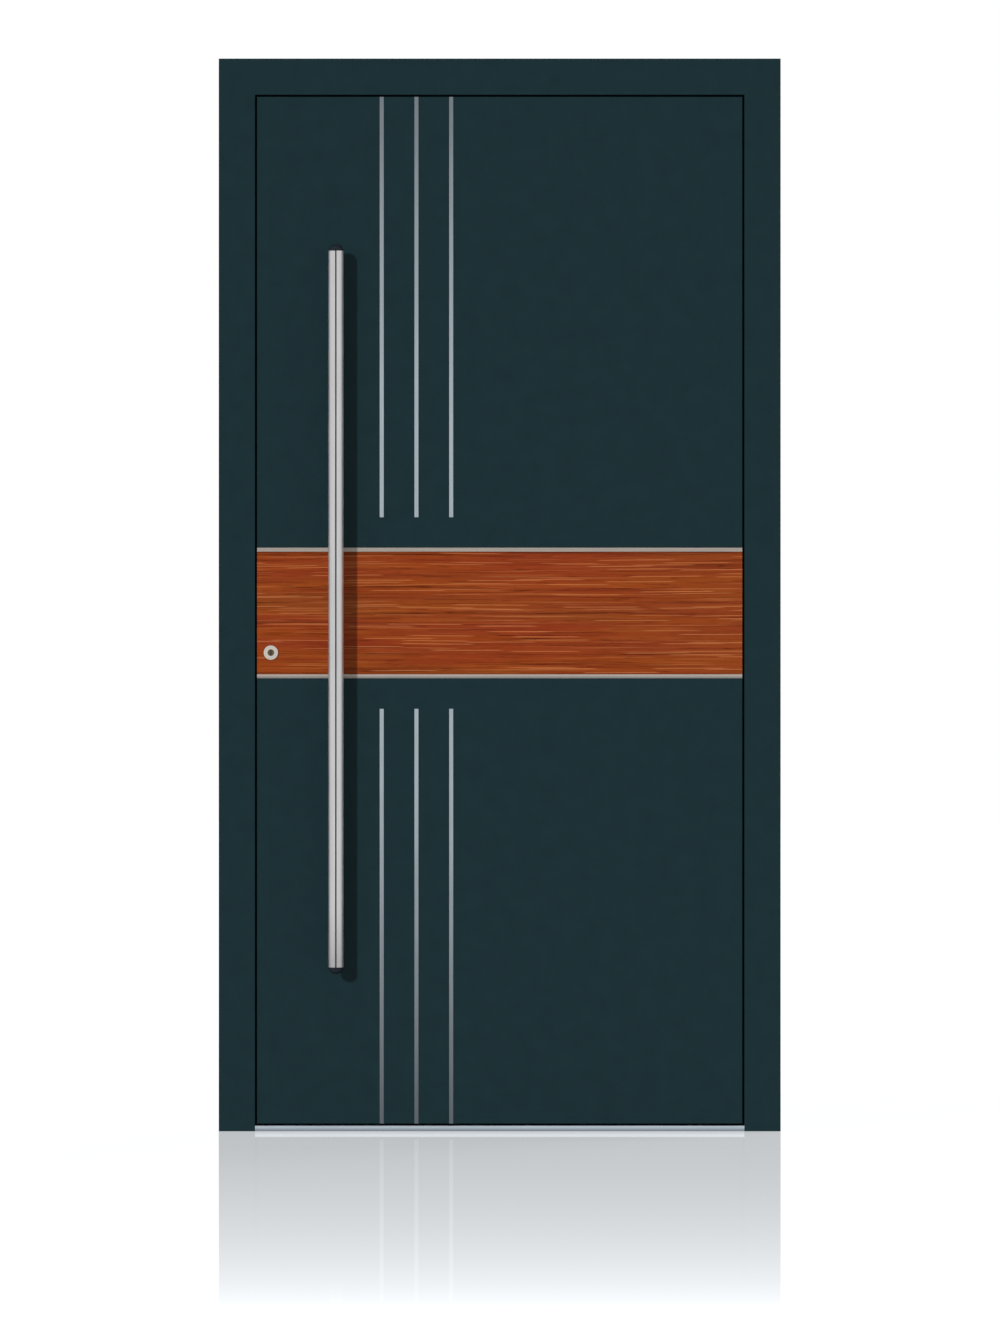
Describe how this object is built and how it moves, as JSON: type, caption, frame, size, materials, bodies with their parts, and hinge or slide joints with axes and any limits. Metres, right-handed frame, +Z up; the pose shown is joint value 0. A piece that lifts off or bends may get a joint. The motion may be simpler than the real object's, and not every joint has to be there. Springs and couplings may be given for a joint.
{
  "type": "panelled front door",
  "caption": "Flush aluminium front door in its frame, with a timber cross band, steel inlay strips, long pull bar, lock with bolts, barrel hinges and threshold; the leaf opens inward.",
  "frame": {"origin": "on the floor under the threshold, mid width and mid depth of the frame", "axes": "+Z up; -Y is outside, the side of the pull bar; +X towards the hinges, to the right seen from outside"},
  "size_m": [1.1, 0.209, 2.1],
  "materials": {
    "anthracite_coat": "fine-textured dark blue-green powder coat",
    "brushed_stainless": "lengthwise brushed stainless steel",
    "timber": "oiled red-brown timber veneer with long horizontal grain",
    "mill_aluminium": "satin anodised",
    "lock_steel": "zinc-plated steel",
    "black_rubber": "matt black seal rubber",
    "black_plastic": "glass-filled black plastic",
    "dark_cap": "dark satin end cap",
    "foam": "rigid foam"
  },
  "bodies": {
    "frame": {"head_outer_profile": "anthracite_coat", "head_inner_profile": "anthracite_coat", "lock_jamb_outer_profile": "anthracite_coat", "lock_jamb_inner_profile": "anthracite_coat", "hinge_jamb_outer_profile": "anthracite_coat", "hinge_jamb_inner_profile": "anthracite_coat", "frame_thermal_bars": "black_plastic", "frame_corner_cleats": "lock_steel", "threshold_outer_rail": "mill_aluminium", "threshold_thermal_core": "black_plastic", "threshold_inner_rail": "mill_aluminium", "frame_stop_seal": "black_rubber", "main_strike_plate": "brushed_stainless", "auxiliary_strike_plates": "brushed_stainless", "hinge_frame_parts": "anthracite_coat", "hinge_pins": "anthracite_coat"},
    "leaf": {"lock_stile_outer_profile": "anthracite_coat", "lock_stile_inner_profile": "anthracite_coat", "hinge_stile_outer_profile": "anthracite_coat", "hinge_stile_inner_profile": "anthracite_coat", "top_rail_outer_profile": "anthracite_coat", "top_rail_inner_profile": "anthracite_coat", "bottom_rail_outer_profile": "anthracite_coat", "bottom_rail_inner_profile": "anthracite_coat", "leaf_thermal_bars": "black_plastic", "leaf_corner_cleats": "lock_steel", "insulating_core": "foam", "upper_outer_sheet": "anthracite_coat", "lower_outer_sheet": "anthracite_coat", "timber_band": "timber", "upper_band_trim": "brushed_stainless", "lower_band_trim": "brushed_stainless", "upper_inlay_strips": "brushed_stainless", "lower_inlay_strips": "brushed_stainless", "inner_sheet": "anthracite_coat", "sill_lip_seal": "black_rubber", "pull_bar_tube": "brushed_stainless", "pull_bar_end_caps": "dark_cap", "pull_bar_posts": "brushed_stainless", "pull_bar_backing_plates": "lock_steel", "key_collar": "brushed_stainless", "key_cylinder_body": "brushed_stainless", "main_lock_case": "lock_steel", "auxiliary_lock_cases": "lock_steel", "lock_faceplate": "brushed_stainless", "lever_rose": "brushed_stainless", "thumb_turn_rose": "brushed_stainless", "hinge_leaf_parts": "anthracite_coat", "hinge_bushes": "black_plastic"},
    "lever": {"lever_handle": "brushed_stainless", "lever_spindle": "lock_steel", "latch_follower": "lock_steel"},
    "latch": {"latch_bolt": "brushed_stainless"},
    "key_works": {"key_plug": "lock_steel", "thumb_turn": "brushed_stainless"},
    "dead_bolts": {"dead_bolt": "brushed_stainless", "auxiliary_bolts": "brushed_stainless"},
    "drive_rods": {"drive_rods": "lock_steel"}
  },
  "joints": [
    {"name": "leaf_swing", "type": "hinge", "parent": "frame", "child": "leaf", "pos_m": [0.497, 0.0505, 0], "axis": [0, 0, -1], "range_deg": [0, 110]},
    {"name": "lever_turn", "type": "hinge", "parent": "leaf", "child": "lever", "pos_m": [-0.448, 0.014, 1.029], "axis": [0, 1, 0], "range_deg": [0, 40], "stiffness_Nm_per_rad": 1.5, "springref_deg": -34.38},
    {"name": "latch_slide", "type": "slide", "parent": "leaf", "child": "latch", "axis": [1, 0, 0], "range_m": [0, 0.012]},
    {"name": "key_turn", "type": "hinge", "parent": "leaf", "child": "key_works", "pos_m": [-0.448, 0.014, 0.937], "axis": [0, 1, 0], "range_deg": [0, 360]},
    {"name": "bolt_slide", "type": "slide", "parent": "leaf", "child": "dead_bolts", "axis": [-1, 0, 0], "range_m": [0, 0.02]},
    {"name": "rod_slide", "type": "slide", "parent": "leaf", "child": "drive_rods", "axis": [0, 0, 1], "range_m": [0, 0.018]}
  ],
  "couplings": [
    {"joint": "latch_slide", "follows": "lever_turn", "m_per_rad": 0.017188},
    {"joint": "bolt_slide", "follows": "key_turn", "m_per_rad": 0.003183},
    {"joint": "rod_slide", "follows": "key_turn", "m_per_rad": 0.0028647}
  ]
}
